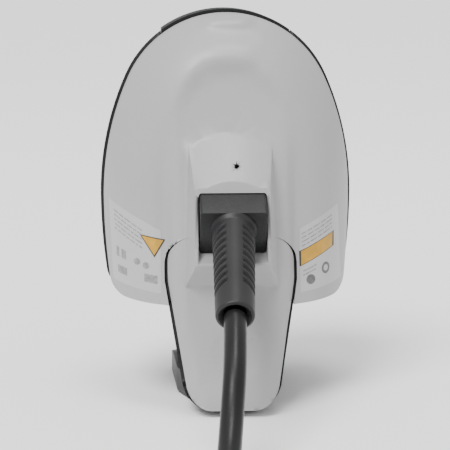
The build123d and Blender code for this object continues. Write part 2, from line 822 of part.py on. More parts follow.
with BuildPart() as laser_module:
    with BuildSketch(laser_plane.offset(1.2)):
        Circle(3.2)
    extrude(amount=10.0)
    with BuildSketch(laser_plane.offset(11.2)):
        Circle(2.6)
    extrude(amount=1.8)
laser_module.part.label = "laser_module"
export_step(laser_module.part, "parts/laser_module.step")

with BuildPart() as laser_bracket:
    with BuildSketch(laser_plane.offset(3.0)):
        with Locations((((chassis_y - motor_y) - 5.0) / 2, 0)):
            Rectangle(chassis_y - motor_y + 5.0, 9.5)
        Circle(3.2, mode=Mode.SUBTRACT)
    extrude(amount=6.0)
laser_bracket.part.label = "laser_bracket"
export_step(laser_bracket.part, "parts/laser_bracket.step")

with BuildPart() as photodetector:
    with BuildSketch(Plane.XZ.offset(-chassis_y + 17.0)):
        with Locations((0, window_z)):
            Rectangle(6, 5)
    extrude(amount=2.0)
    with BuildSketch(Plane.XZ.offset(-chassis_y)):
        with Locations((0, window_z)):
            Rectangle(1.6, 1.6)
    extrude(amount=17.0)
photodetector.part.label = "photodetector"
export_step(photodetector.part, "parts/photodetector.step")

# ---- Electronics ----
main_board_y = chassis_y + chassis_thickness + standoff
with BuildPart() as main_board:
    with BuildSketch(Plane.XZ.offset(-main_board_y)):
        with Locations((0, main_board_z)):
            RectangleRounded(50, 54, 3)
        with Locations(*board_screw_places):
            Circle(board_screw_radius, mode=Mode.SUBTRACT)
    extrude(amount=-board_thickness)
main_board.part.label = "main_board"
export_step(main_board.part, "parts/main_board.step")

chip_plane = Plane.XZ.offset(-main_board_y - board_thickness)
with BuildPart() as board_chips:
    with BuildSketch(chip_plane):
        with Locations((-12, 92)):
            Rectangle(12, 12)
        with Locations((6, 96), (14, 88), (-16, 76), (-16, 68)):
            Rectangle(6, 5)
        with Locations((16, 72)):
            with GridLocations(3.2, 4.0, 3, 3):
                Rectangle(1.6, 2.4)
    extrude(amount=-1.2)
board_chips.part.label = "board_chips"
export_step(board_chips.part, "parts/board_chips.step")

with BuildPart() as board_connectors:
    with BuildSketch(chip_plane):
        with Locations((0, 62.5)):
            Rectangle(13, 3.6)
        with Locations((0, 108)):
            Rectangle(9, 3.2)
    extrude(amount=-2.0)
board_connectors.part.label = "board_connectors"
export_step(board_connectors.part, "parts/board_connectors.step")

with BuildPart() as beeper:
    with BuildSketch(chip_plane):
        with Locations((14, 102.5)):
            Circle(5.0)
    extrude(amount=-3.2)
beeper.part.label = "beeper"
export_step(beeper.part, "parts/beeper.step")

# ---- Cable socket in the boss ----
modular_length = 15.0
socket_front = well_end + well_wall + 0.2
socket_length = 14.0
with BuildPart() as cable_socket:
    with BuildSketch(plug_plane.offset(-socket_front - socket_length)):
        Rectangle(16.0, 13.0)
    extrude(amount=socket_length)
    with BuildSketch(plug_plane.offset(-plug_length - modular_length - 0.3)):
        Rectangle(11.9, 10.4)
    extrude(amount=40, mode=Mode.SUBTRACT)
cable_socket.part.label = "cable_socket"
export_step(cable_socket.part, "parts/cable_socket.step")

with BuildPart() as socket_contacts:
    with BuildSketch(plug_plane.offset(-socket_front - socket_length + 0.8)):
        with Locations((0, -4.3)):
            with GridLocations(1.02, 1, 10, 1):
                Rectangle(0.4, 0.5)
    extrude(amount=6.0)
socket_contacts.part.label = "socket_contacts"
export_step(socket_contacts.part, "parts/socket_contacts.step")

with BuildPart() as port_board:
    with BuildSketch(plug_plane.offset(-socket_front - socket_length - board_thickness)):
        Rectangle(24, 15)
    extrude(amount=board_thickness)
port_board.part.label = "port_board"
export_step(port_board.part, "parts/port_board.step")

ribbon_width = 11.0
ribbon_thickness = 0.4
port_middle = plug_plane.offset(-socket_front - socket_length - board_thickness / 2)
ribbon_end = port_middle.from_local_coords(Vector(0, -7.7, 0))
ribbon_bend = port_middle.from_local_coords(Vector(0, -10.5, 0))
with BuildPart() as flat_cable:
    with BuildSketch(Plane.YZ.offset(-ribbon_width / 2)):
        with BuildLine():
            ribbon = Polyline(
                (chip_plane.origin.Y + 2.2, 62.5),
                (chip_plane.origin.Y + 3.4, 62.8),
                (ribbon_bend.Y, ribbon_bend.Z),
                (ribbon_end.Y, ribbon_end.Z),
            )
            offset(ribbon, amount=ribbon_thickness / 2, kind=Kind.INTERSECTION)
        make_face()
    extrude(amount=ribbon_width)
flat_cable.part.label = "flat_cable"
export_step(flat_cable.part, "parts/flat_cable.step")

# ---- Foot: cover, weight, insert, pads ----
cover_top = pad_height + cover_thickness
weight_thickness = 2.2
pad_radius = 4.0
pad_sink = 0.5
pad_places = [(-10.5, -28.0), (10.5, -28.0), (-8.5, 7.0), (8.5, 7.0), (0, 21.5)]
with BuildPart() as base_cover:
    add(extrude(foot_plan(pad_height, housing_wall + fit_gap), amount=cover_thickness, mode=Mode.PRIVATE))
    with BuildSketch(Plane.XY.offset(pad_height)):
        with Locations(*pad_places):
            Circle(pad_radius)
    extrude(amount=pad_sink, mode=Mode.SUBTRACT)
    with BuildSketch(Plane.XY.offset(pad_height)):
        with Locations((0, insert_y)):
            Circle(insert_radius)
        with Locations(*cover_screw_places):
            Circle(cover_screw_radius + 0.1)
    extrude(amount=cover_thickness, mode=Mode.SUBTRACT)
base_cover.part.label = "base_cover"
export_step(base_cover.part, "parts/base_cover.step")

with BuildPart() as foot_pads:
    with BuildSketch(Plane.XY):
        with Locations(*pad_places):
            Circle(pad_radius)
    extrude(amount=pad_height + pad_sink)
    chamfer(foot_pads.faces().group_by(Axis.Z)[0].edges(), 0.3)
foot_pads.part.label = "foot_pads"
export_step(foot_pads.part, "parts/foot_pads.step")

with BuildPart() as base_weight:
    add(
        extrude(
            foot_plan(cover_top, housing_wall + 1.6), amount=weight_thickness, mode=Mode.PRIVATE
        )
    )
    with BuildSketch(Plane.XY.offset(cover_top)):
        with Locations((0, insert_y)):
            Circle(insert_radius + 0.3)
        with Locations(*cover_screw_places):
            Circle(1.9)
    extrude(amount=weight_thickness, mode=Mode.SUBTRACT)
base_weight.part.label = "base_weight"
export_step(base_weight.part, "parts/base_weight.step")

with BuildPart() as mount_insert:
    with BuildSketch(Plane.XY.offset(pad_height)):
        with Locations((0, insert_y)):
            Circle(insert_radius)
            Circle(insert_bore, mode=Mode.SUBTRACT)
    extrude(amount=insert_length)
mount_insert.part.label = "mount_insert"
export_step(mount_insert.part, "parts/mount_insert.step")


def pan_head_screws(plane, places, radius, head, length):
    """Screws whose heads stand on the plane, with shanks that go the other way."""
    with BuildPart(mode=Mode.PRIVATE) as screws:
        with BuildSketch(plane):
            with Locations(*places):
                Circle(radius)
        extrude(amount=-length)
        with BuildSketch(plane):
            with Locations(*places):
                Circle(2 * radius)
                RegularPolygon(0.9 * radius, 6, mode=Mode.SUBTRACT)
        extrude(amount=head)
        with BuildSketch(plane):
            with Locations(*places):
                Circle(1.2 * radius)
        extrude(amount=0.4 * head)
    return screws.part


front_screws = [(-front_screw_x, front_screw_z), (front_screw_x, front_screw_z)]
neck_plane = Plane.XZ.offset(-neck_front - 0.2)
housing_screws = pan_head_screws(neck_plane, front_screws, front_screw_radius, 1.8, 15.0)
housing_screws.label = "housing_screws"
export_step(housing_screws, "parts/housing_screws.step")

# ---- The lead: overmoulded plug, boot, cable, coil and far plug ----
boot_length = 41.0
boot_radius = 7.0
boot_end_radius = 6.0
boot_lift = 1.0
cable_radius = 3.5
boot_way = Vector(0.038, plug_cos, -plug_sin).normalized()
boot_root = plug_plane.from_local_coords(Vector(0, boot_lift, plug_overhang))
boot_plane = Plane(origin=boot_root, x_dir=(-1, 0.038 / plug_cos, 0), z_dir=boot_way)
boot_end = boot_root + boot_way * boot_length

with BuildPart() as plug_block:
    with BuildSketch(plug_plane.offset(-plug_length)):
        RectangleRounded(plug_width, plug_depth, 0.8)
    extrude(amount=plug_length + plug_overhang)
plug_block.part.label = "plug_block"
export_step(plug_block.part, "parts/plug_block.step")

with BuildPart() as modular_plug:
    with BuildSketch(plug_plane.offset(-plug_length - modular_length)):
        Rectangle(11.6, 6.6)
    extrude(amount=modular_length)
modular_plug.part.label = "modular_plug"
export_step(modular_plug.part, "parts/modular_plug.step")

# the latch springs up from its root at the deep end, and bends towards the plug when pressed
latch_length = 12.0
latch_angle = plug_angle - 3.0
latch_way = (0, cos(radians(latch_angle)), -sin(radians(latch_angle)))
latch_start = plug_plane.offset(-plug_length - modular_length + 0.6)
latch_root = latch_start.from_local_coords(Vector(0, 3.9, 0))
with BuildPart() as plug_latch:
    with BuildSketch(Plane(origin=latch_root, x_dir=(-1, 0, 0), z_dir=latch_way)):
        Rectangle(5.6, 0.8)
    extrude(amount=latch_length)
plug_latch.part.label = "plug_latch"
export_step(plug_latch.part, "parts/plug_latch.step")

with BuildPart() as plug_contacts:
    with BuildSketch(plug_plane.offset(-plug_length - modular_length + 0.5)):
        with Locations((0, -3.4)):
            with GridLocations(1.02, 1, 10, 1):
                Rectangle(0.35, 0.2)
    extrude(amount=5.0)
plug_contacts.part.label = "plug_contacts"
export_step(plug_contacts.part, "parts/plug_contacts.step")

with BuildPart() as strain_relief:
    with BuildSketch(boot_plane):
        Circle(boot_radius)
    with BuildSketch(boot_plane.offset(boot_length)):
        Circle(boot_end_radius)
    loft()
    add(plug_block.part, mode=Mode.SUBTRACT)
strain_relief.part.label = "strain_relief"
export_step(strain_relief.part, "parts/strain_relief.step")

first_point = boot_end + boot_way * 17.5
lead_route = [
    boot_end,
    first_point,
    Vector(4.2, 98.5, 16.0),
    Vector(6.2, 114.5, 5.6),
    Vector(9.4, 133.0, 3.5),
    Vector(11.0, 151.5, 3.5),
    Vector(11.4, 169.8, 3.5),
]
coil_x = -30.6
coil_y = 170.8
coil_outer = 45.5
coil_inner = 24.5
coil_height = 14.0
tail_height = coil_height + 3.0
tail_route = [
    Vector(2.4, 146.8, tail_height),
    Vector(3.4, 165.8, tail_height),
    Vector(-1.6, 184.8, tail_height),
    Vector(-14.6, 197.3, tail_height),
    Vector(-31.1, 202.6, tail_height),
]
tie_width = 12.0
tie_thickness = 1.2
usb_grip_length = 32.0
usb_grip_width = 15.0
usb_grip_height = 7.6
usb_shell_length = 14.0


def corner_radii(route):
    """The largest tangent arcs that the runs leave room for, with a little straight left between."""
    radii = []
    for before, here, after in zip(route, route[1:], route[2:]):
        turn = (here - before).get_angle(after - here)
        shorter = min((here - before).length, (after - here).length)
        radii.append(0.45 * shorter / tan(radians(turn) / 2))
    return radii


lead_radii = corner_radii(lead_route)
tail_radii = corner_radii(tail_route)
with BuildPart() as interface_cable:
    with BuildLine() as lead_path:
        FilletPolyline(*lead_route, radius=lead_radii)
    with BuildSketch(Plane(origin=lead_path.line @ 0, z_dir=lead_path.line % 0)):
        Circle(cable_radius)
    sweep(path=lead_path.line)
interface_cable.part.label = "interface_cable"
export_step(interface_cable.part, "parts/interface_cable.step")

with BuildPart() as cable_tail:
    with BuildLine() as tail_path:
        FilletPolyline(*tail_route, radius=tail_radii)
    with BuildSketch(Plane(origin=tail_path.line @ 0, z_dir=tail_path.line % 0)):
        Circle(cable_radius)
    sweep(path=tail_path.line)
cable_tail.part.label = "cable_tail"
export_step(cable_tail.part, "parts/cable_tail.step")

for name, path, tube, radii in (
    ("lead", lead_path, interface_cable, lead_radii),
    ("tail", tail_path, cable_tail, tail_radii),
):
    print(name, "corner radii", [round(radius, 1) for radius in radii])
    expected = pi * cable_radius**2 * path.wires()[0].length
    print(name, "volume", round(tube.part.volume, 1), "section x length", round(expected, 1))

coil_band = coil_outer - coil_inner
tie_plane = Plane.XZ.offset(-coil_y - tie_width / 2)
tie_place = (coil_x - (coil_inner + coil_outer) / 2, coil_height / 2)
with BuildPart() as cable_tie:
    with BuildSketch(tie_plane):
        with Locations(tie_place):
            RectangleRounded(coil_band + 1.2, coil_height, 3.0)
            RectangleRounded(
                coil_band + 1.2 - 2 * tie_thickness,
                coil_height - 2 * tie_thickness,
                3.0 - tie_thickness,
                mode=Mode.SUBTRACT,
            )
    extrude(amount=tie_width)
cable_tie.part.label = "cable_tie"
export_step(cable_tie.part, "parts/cable_tie.step")

with BuildPart() as cable_coil:
    with BuildSketch(Plane.XY):
        with Locations((coil_x, coil_y)):
            Circle(coil_outer)
            Circle(coil_inner, mode=Mode.SUBTRACT)
    extrude(amount=coil_height)
    fillet(cable_coil.edges(), 3.0)
    add(interface_cable.part, mode=Mode.SUBTRACT)
    add(cable_tail.part, mode=Mode.SUBTRACT)
    with BuildSketch(tie_plane):
        with Locations((coil_x - coil_outer, coil_height / 2)):
            Rectangle(80, 40)
        with Locations(tie_place):
            RectangleRounded(
                coil_band + 1.2 - 2 * tie_thickness,
                coil_height - 2 * tie_thickness,
                3.0 - tie_thickness,
                mode=Mode.SUBTRACT,
            )
    extrude(amount=tie_width, mode=Mode.SUBTRACT)
cable_coil.part.label = "cable_coil"
export_step(cable_coil.part, "parts/cable_coil.step")

usb_way = (tail_route[-1] - tail_route[-2]).normalized()
usb_root = Vector(tail_route[-1].X, tail_route[-1].Y, coil_height + usb_grip_height / 2)
usb_plane = Plane(origin=usb_root, x_dir=(-usb_way.Y, usb_way.X, 0), z_dir=usb_way)
with BuildPart() as usb_plug_grip:
    with BuildSketch(usb_plane):
        RectangleRounded(usb_grip_width, usb_grip_height, 2.0)
    extrude(amount=usb_grip_length)
usb_plug_grip.part.label = "usb_plug_grip"
export_step(usb_plug_grip.part, "parts/usb_plug_grip.step")

with BuildPart() as usb_plug_shell:
    with BuildSketch(usb_plane.offset(usb_grip_length)):
        Rectangle(12.0, 4.5)
        Rectangle(11.4, 3.9, mode=Mode.SUBTRACT)
    extrude(amount=usb_shell_length)
usb_plug_shell.part.label = "usb_plug_shell"
export_step(usb_plug_shell.part, "parts/usb_plug_shell.step")

with BuildPart() as usb_contacts:
    with BuildSketch(usb_plane.offset(usb_grip_length)):
        with Locations((0, 0.9)):
            Rectangle(11.0, 1.8)
    extrude(amount=usb_shell_length - 1.5)
usb_contacts.part.label = "usb_contacts"
export_step(usb_contacts.part, "parts/usb_contacts.step")

# ---- Screws inside the case: heads to the rear, shanks towards the window ----
def rear_plane(y):
    return Plane(origin=(0, y, 0), x_dir=(-1, 0, 0), z_dir=(0, 1, 0))


def seen_from_rear(places):
    return [(-x, z) for x, z in places]


board_back = main_board_y + board_thickness
board_screws = pan_head_screws(
    rear_plane(board_back), seen_from_rear(board_screw_places), board_screw_radius, 1.0, 4.6
)
board_screws.label = "board_screws"
export_step(board_screws, "parts/board_screws.step")

chassis_back = chassis_y + chassis_thickness
chassis_screws = pan_head_screws(
    rear_plane(chassis_back), seen_from_rear(chassis_screw_places), chassis_screw_radius, 1.1, 9.0
)
chassis_screws.label = "chassis_screws"
export_step(chassis_screws, "parts/chassis_screws.step")

motor_screws = pan_head_screws(
    Plane.XY.offset(motor_z + 1.2), motor_screw_places, motor_screw_radius, 0.9, 2.6
)
motor_screws.label = "motor_screws"
export_step(motor_screws, "parts/motor_screws.step")

cover_face = Plane(origin=(0, 0, pad_height), x_dir=(1, 0, 0), z_dir=(0, 0, -1))
turned_places = [(x, -y) for x, y in cover_screw_places]
cover_screws = pan_head_screws(cover_face, turned_places, cover_screw_radius, 0.6, 6.8)
cover_screws.label = "cover_screws"
export_step(cover_screws, "parts/cover_screws.step")
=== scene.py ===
import math
import random
import bpy
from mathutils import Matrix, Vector


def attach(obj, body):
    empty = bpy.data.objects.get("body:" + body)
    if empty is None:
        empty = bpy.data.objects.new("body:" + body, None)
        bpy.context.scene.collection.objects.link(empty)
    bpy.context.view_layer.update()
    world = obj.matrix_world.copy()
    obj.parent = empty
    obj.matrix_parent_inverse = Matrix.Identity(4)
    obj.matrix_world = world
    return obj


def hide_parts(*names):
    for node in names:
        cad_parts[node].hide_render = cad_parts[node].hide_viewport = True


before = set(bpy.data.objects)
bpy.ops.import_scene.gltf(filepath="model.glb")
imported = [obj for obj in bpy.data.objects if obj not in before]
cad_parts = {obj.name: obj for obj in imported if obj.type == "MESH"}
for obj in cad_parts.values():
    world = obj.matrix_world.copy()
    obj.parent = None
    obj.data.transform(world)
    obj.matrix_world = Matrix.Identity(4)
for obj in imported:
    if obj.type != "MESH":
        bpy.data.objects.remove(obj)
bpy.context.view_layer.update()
mm = 0.001
weldDistance = 0.00001  # points nearer than this become one

# camera first: level with the upper cable, a little to the right of dead behind
cameraSetup = {"target": (0.2, -12.0, 56.3), "azimuth": 176.9, "elevation": 8.8,
               "distance": 600.0, "lens": 137.0}
azimuth = math.radians(cameraSetup["azimuth"])
elevation = math.radians(cameraSetup["elevation"])
backwards = Vector((math.sin(azimuth) * math.cos(elevation),
                    -math.cos(azimuth) * math.cos(elevation), math.sin(elevation)))
bpy.ops.object.camera_add(
    location=(Vector(cameraSetup["target"]) + backwards * cameraSetup["distance"]) * mm)
camera = bpy.context.object
camera.name = "rearCamera"
camera.data.lens = cameraSetup["lens"]
camera.data.clip_start = 0.01
camera.rotation_euler = (-backwards).to_track_quat("-Z", "Y").to_euler()
bpy.context.scene.camera = camera
print("camera placed")


def deselectAll():
    if bpy.context.object and bpy.context.object.mode != "OBJECT":
        bpy.ops.object.mode_set(mode="OBJECT")
    bpy.ops.object.select_all(action="DESELECT")


def settle(piece):
    # the place goes into the mesh, and the object itself stays at the origin
    deselectAll()
    piece.select_set(True)
    bpy.context.view_layer.objects.active = piece
    bpy.ops.object.transform_apply(location=True, rotation=True, scale=True)


def addModifier(piece, kind, **settings):
    modifier = piece.modifiers.new(kind.lower(), kind)
    for key, value in settings.items():
        setattr(modifier, key, value)
    return modifier


def applyModifiers(piece):
    deselectAll()
    piece.select_set(True)
    bpy.context.view_layer.objects.active = piece
    for modifier in list(piece.modifiers):
        bpy.ops.object.modifier_apply(modifier=modifier.name)


def smoothByAngle(piece, degrees):
    deselectAll()
    piece.select_set(True)
    bpy.context.view_layer.objects.active = piece
    bpy.ops.object.shade_smooth_by_angle(angle=math.radians(degrees))


# the lead leaves the boot, drops to the table and runs to the coil behind the scanner
lead = {
    "diameter": 7.0,
    "route": [(1.557, 70.619, 40.683), (2.22, 85.61, 31.68), (4.2, 98.5, 16.0),
              (6.2, 114.5, 5.6), (9.4, 133.0, 3.5), (11.0, 151.5, 3.5)],
    "coilCentre": (-30.6, 170.8),
    # turn in degrees, radius and height: three turns in on the table, then three out on top
    "coilTurns": [(0, 42.0, 3.5), (315, 42.0, 3.5), (360, 35.0, 3.5), (675, 35.0, 3.5),
                  (720, 28.0, 3.5), (970, 28.0, 3.5), (1035, 28.0, 10.6), (1395, 28.0, 10.6),
                  (1440, 35.0, 10.6), (1755, 35.0, 10.6), (1800, 42.0, 10.6), (2115, 42.0, 10.6),
                  (2133, 45.0, 14.2), (2151, 43.2, 16.9)],
    "pointsPerTurn": 20,
    # the end crosses the top of the coil to its plug
    "tail": [(8.9, 176.8, 17.7), (0.4, 189.8, 17.7), (-14.6, 198.8, 17.7), (-31.1, 202.6, 17.8)],
}


def coilPoint(turn):
    keys = lead["coilTurns"]
    for (turnA, radiusA, heightA), (turnB, radiusB, heightB) in zip(keys, keys[1:]):
        if turn <= turnB:
            share = (turn - turnA) / (turnB - turnA)
            radius = radiusA + (radiusB - radiusA) * share
            height = heightA + (heightB - heightA) * share
            break
    # control points lie a little outside the turn that the curve follows
    radius /= math.cos(math.pi / lead["pointsPerTurn"])
    angle = math.radians(turn)
    return (lead["coilCentre"][0] + radius * math.cos(angle),
            lead["coilCentre"][1] + radius * math.sin(angle), height)


leadPoints = list(lead["route"])
turnStep = 360 / lead["pointsPerTurn"]
lastTurn = lead["coilTurns"][-1][0]
for count in range(int(lastTurn / turnStep) + 1):
    leadPoints.append(coilPoint(count * turnStep))
leadPoints.append(coilPoint(lastTurn))
leadPoints += lead["tail"]
leadCurve = bpy.data.curves.new("lead", "CURVE")
leadCurve.dimensions = "3D"
leadSpline = leadCurve.splines.new("NURBS")
leadSpline.points.add(len(leadPoints) - 1)
for point, place in zip(leadSpline.points, leadPoints):
    point.co = (place[0] * mm, place[1] * mm, place[2] * mm, 1)
    point.radius = lead["diameter"] / 2 * mm  # thickness comes from here, so the box stays true
leadSpline.order_u = 3
leadSpline.use_endpoint_u = True
leadSpline.resolution_u = 8
leadCurve.bevel_depth = 1.0
leadCurve.bevel_resolution = 8
leadCable = bpy.data.objects.new("leadCable", leadCurve)
bpy.context.scene.collection.objects.link(leadCable)
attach(leadCable, "scanner")
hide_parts("interface_cable", "cable_coil", "cable_tail")
print("lead laid")


def moulding(name, colour, roughness, grain=900.0, depth=0.03, mottle=0.04, patch=60.0,
             metallic=0.0, coat=0.0, gloss=0.5):
    # colour drifts slowly over the piece, and a fine grain breaks the highlight
    material = bpy.data.materials.new(name)
    material.use_nodes = True
    nodes, links = material.node_tree.nodes, material.node_tree.links
    shader = nodes["Principled BSDF"]
    shader.inputs["Metallic"].default_value = metallic
    shader.inputs["Specular IOR Level"].default_value = gloss
    shader.inputs["Coat Weight"].default_value = coat
    shader.inputs["Coat Roughness"].default_value = 0.15
    place = nodes.new("ShaderNodeTexCoord")
    drift = nodes.new("ShaderNodeTexNoise")
    drift.inputs["Scale"].default_value = patch
    drift.inputs["Detail"].default_value = 4
    links.new(place.outputs["Object"], drift.inputs["Vector"])
    ramp = nodes.new("ShaderNodeValToRGB")
    ramp.color_ramp.elements[0].position = 0.3
    ramp.color_ramp.elements[1].position = 0.7
    ramp.color_ramp.elements[0].color = [c * (1 - mottle) for c in colour] + [1]
    ramp.color_ramp.elements[1].color = [min(1, c * (1 + mottle)) for c in colour] + [1]
    links.new(drift.outputs["Fac"], ramp.inputs["Fac"])
    links.new(ramp.outputs["Color"], shader.inputs["Base Color"])
    grainNoise = nodes.new("ShaderNodeTexNoise")
    grainNoise.inputs["Scale"].default_value = grain
    grainNoise.inputs["Detail"].default_value = 6
    links.new(place.outputs["Object"], grainNoise.inputs["Vector"])
    rough = nodes.new("ShaderNodeMapRange")
    rough.inputs["To Min"].default_value = roughness * 0.85
    rough.inputs["To Max"].default_value = min(1, roughness * 1.15)
    links.new(grainNoise.outputs["Fac"], rough.inputs["Value"])
    links.new(rough.outputs["Result"], shader.inputs["Roughness"])
    bump = nodes.new("ShaderNodeBump")
    bump.inputs["Strength"].default_value = depth
    bump.inputs["Distance"].default_value = 0.0002
    links.new(grainNoise.outputs["Fac"], bump.inputs["Height"])
    links.new(bump.outputs["Normal"], shader.inputs["Normal"])
    return material


def glazing(name, colour, roughness, transmission):
    material = moulding(name, colour, roughness, grain=400.0, depth=0.01, mottle=0.02)
    shader = material.node_tree.nodes["Principled BSDF"]
    shader.inputs["Transmission Weight"].default_value = transmission
    return material


finishes = {
    "greyShell": moulding("greyShell", (0.345, 0.338, 0.342), 0.42, grain=1500, depth=0.10,
                          mottle=0.015),
    "darkShell": moulding("darkShell", (0.014, 0.014, 0.015), 0.42, gloss=0.25, grain=1400,
                          depth=0.2, mottle=0.15),
    "buttonDark": moulding("buttonDark", (0.010, 0.010, 0.011), 0.6, gloss=0.25, grain=1400,
                           depth=0.2, mottle=0.15),
    "glossTrim": moulding("glossTrim", (0.012, 0.012, 0.013), 0.14, depth=0.02, coat=0.5),
    "rubber": moulding("rubber", (0.018, 0.018, 0.018), 0.75, grain=1800, depth=0.3, mottle=0.2),
    "plugBlack": moulding("plugBlack", (0.014, 0.014, 0.015), 0.42, gloss=0.25, grain=1900,
                          depth=0.45, mottle=0.3),
    "bootRubber": moulding("bootRubber", (0.019, 0.019, 0.020), 0.44, gloss=0.25, grain=1500,
                           depth=0.15, mottle=0.12),
    "cableSheath": moulding("cableSheath", (0.009, 0.009, 0.0095), 0.34, gloss=0.25, grain=1200,
                            depth=0.12, mottle=0.2),
    "steel": moulding("steel", (0.60, 0.60, 0.61), 0.28, grain=1500, depth=0.1, metallic=1.0),
    "brass": moulding("brass", (0.75, 0.55, 0.26), 0.3, grain=1500, depth=0.1, metallic=1.0),
    "aluminium": moulding("aluminium", (0.74, 0.74, 0.75), 0.35, grain=1800, depth=0.15,
                          metallic=1.0),
    "mirror": moulding("mirror", (0.92, 0.92, 0.93), 0.03, grain=300, depth=0.0, mottle=0.0,
                       metallic=1.0),
    "board": moulding("board", (0.02, 0.12, 0.05), 0.4, grain=1000, depth=0.3, mottle=0.25,
                      patch=500, coat=0.3),
    "chip": moulding("chip", (0.02, 0.02, 0.022), 0.55, grain=2500, depth=0.3),
    "whitePlastic": moulding("whitePlastic", (0.72, 0.71, 0.67), 0.45, depth=0.05),
    "castIron": moulding("castIron", (0.10, 0.10, 0.10), 0.7, grain=1200, depth=0.6, mottle=0.3,
                         metallic=0.6),
    "amberLens": glazing("amberLens", (0.85, 0.42, 0.06), 0.15, 0.5),
    "clearPlastic": glazing("clearPlastic", (0.85, 0.88, 0.90), 0.08, 0.85),
    "redGlass": glazing("redGlass", (0.22, 0.008, 0.012), 0.04, 0.75),
    "labelStock": moulding("labelStock", (0.42, 0.415, 0.42), 0.38, grain=2000, depth=0.03,
                           mottle=0.02),
    "labelGrey": moulding("labelGrey", (0.11, 0.11, 0.113), 0.5, mottle=0.3, patch=900),
    "labelPale": moulding("labelPale", (0.23, 0.23, 0.233), 0.5, mottle=0.3, patch=900),
    "labelAmber": moulding("labelAmber", (0.48, 0.26, 0.02), 0.42, mottle=0.15, patch=300),
    "labelBorder": moulding("labelBorder", (0.03, 0.028, 0.025), 0.45, mottle=0.2, patch=500),
}
nodeFinishes = {
    "greyShell": ["rear_shell"],
    "darkShell": ["front_housing", "base_cover"],
    "buttonDark": ["scan_button"],
    "glossTrim": ["window_bezel"],
    "redGlass": ["scan_window"],
    "rubber": ["window_gasket", "foot_pads", "cable_tie"],
    "amberLens": ["light_pipe", "status_leds"],
    "steel": ["button_springs", "motor_bracket", "motor_stator", "motor_shaft", "housing_screws",
              "board_screws", "chassis_screws", "motor_screws", "cover_screws", "usb_plug_shell"],
    "mirror": ["pattern_mirrors", "collecting_mirror", "polygon_mirror"],
    "aluminium": ["motor_rotor", "laser_bracket"],
    "brass": ["motor_bearings", "laser_module", "socket_contacts", "mount_insert", "plug_contacts"],
    "clearPlastic": ["laser_lens", "modular_plug", "plug_latch"],
    "board": ["button_board", "main_board", "port_board"],
    "chip": ["button_switch", "optics_chassis", "photodetector", "board_chips", "beeper",
             "cable_socket"],
    "whitePlastic": ["board_connectors", "flat_cable", "usb_contacts"],
    "castIron": ["base_weight"],
    "plugBlack": ["plug_block", "usb_plug_grip"],
    "bootRubber": ["strain_relief"],
    "cableSheath": ["interface_cable", "cable_coil", "cable_tail"],
}


def dress(piece, finish):
    piece.data.materials.clear()
    piece.data.materials.append(finishes[finish])


def findNode(name):
    return bpy.data.objects[name]


for finish, names in nodeFinishes.items():
    for name in names:
        for slot in findNode(name).material_slots:
            slot.link = "OBJECT"
            slot.material = finishes[finish]
dress(leadCable, "cableSheath")
print("finishes made")


def copyNode(node, name):
    # a welded copy of a CAD mesh, which can be shaded smoothly
    mesh = findNode(node).data.copy()
    piece = bpy.data.objects.new(name, mesh)
    bpy.context.scene.collection.objects.link(piece)
    for key in list(piece.keys()):
        del piece[key]
    deselectAll()
    piece.select_set(True)
    bpy.context.view_layer.objects.active = piece
    bpy.ops.object.mode_set(mode="EDIT")
    bpy.ops.mesh.select_all(action="SELECT")
    bpy.ops.mesh.remove_doubles(threshold=weldDistance)
    bpy.ops.object.mode_set(mode="OBJECT")
    return piece


shellSkin = {"crease": 24.0, "weight": 80}  # crease in degrees, and how far large faces lead
shell = copyNode("rear_shell", "shellSkin")
smoothByAngle(shell, shellSkin["crease"])
addModifier(shell, "WEIGHTED_NORMAL", keep_sharp=True, weight=shellSkin["weight"])
applyModifiers(shell)
dress(shell, "greyShell")
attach(shell, "scanner")
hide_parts("rear_shell")
housingSkin = {"crease": 28.0}
housing = copyNode("front_housing", "housingSkin")
smoothByAngle(housing, housingSkin["crease"])
dress(housing, "darkShell")
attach(housing, "scanner")
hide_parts("front_housing")
print("shells welded")

# the boot: a taper with nine slots on each side of a plain spine, and a recessed end
boot = {
    "root": (0.0, 35.501, 61.785), "end": (1.557, 70.619, 40.683),
    "rootRadius": 7.0, "endRadius": 6.1, "collar": 0.7, "collarLength": 1.0,
    "slots": 9, "firstSlot": 5.6, "slotPitch": 3.15, "slotWidth": 1.75, "slotDepth": 1.15,
    "spineHalf": 22.0, "spineEndHalf": 19.0, "slotEnd": 108.0, "slotBlend": 11.0,
    "slotSlope": 0.55, "slotDrop": 2.4, "lipRound": 0.9, "recess": 2.6, "boreRadius": 3.45,
    "around": 150, "along": 240, "outerShare": 0.9, "crease": 50.0,
}
bootRoot = Vector(boot["root"])
bootAxis = Vector(boot["end"]) - bootRoot
bootLength = bootAxis.length
bootAxis.normalize()
bootAcross = Vector((1, 0, 0)) - bootAxis * bootAxis.x
bootAcross.normalize()
bootUp = bootAcross.cross(bootAxis)


def easeStep(value):
    value = max(0.0, min(1.0, value))
    return value * value * (3 - 2 * value)


def slotCut(turn, along):
    # how deep the slots cut at this turn from the spine, in degrees, and this far along
    share = along / bootLength
    spine = boot["spineHalf"] + (boot["spineEndHalf"] - boot["spineHalf"]) * share
    ends = easeStep((turn - spine) / boot["slotBlend"])
    ends *= easeStep((boot["slotEnd"] - turn) / boot["slotBlend"])
    sag = boot["slotDrop"] * math.sin(math.radians(min(90.0, turn))) ** 2 - boot["slotDrop"] / 2
    number = round((along - sag - boot["firstSlot"]) / boot["slotPitch"])
    number = max(0, min(boot["slots"] - 1, number))
    away = abs(along - sag - boot["firstSlot"] - number * boot["slotPitch"])
    wall = (boot["slotWidth"] / 2 + 0.25 - away) / boot["slotSlope"]
    return boot["slotDepth"] * ends * easeStep(wall)


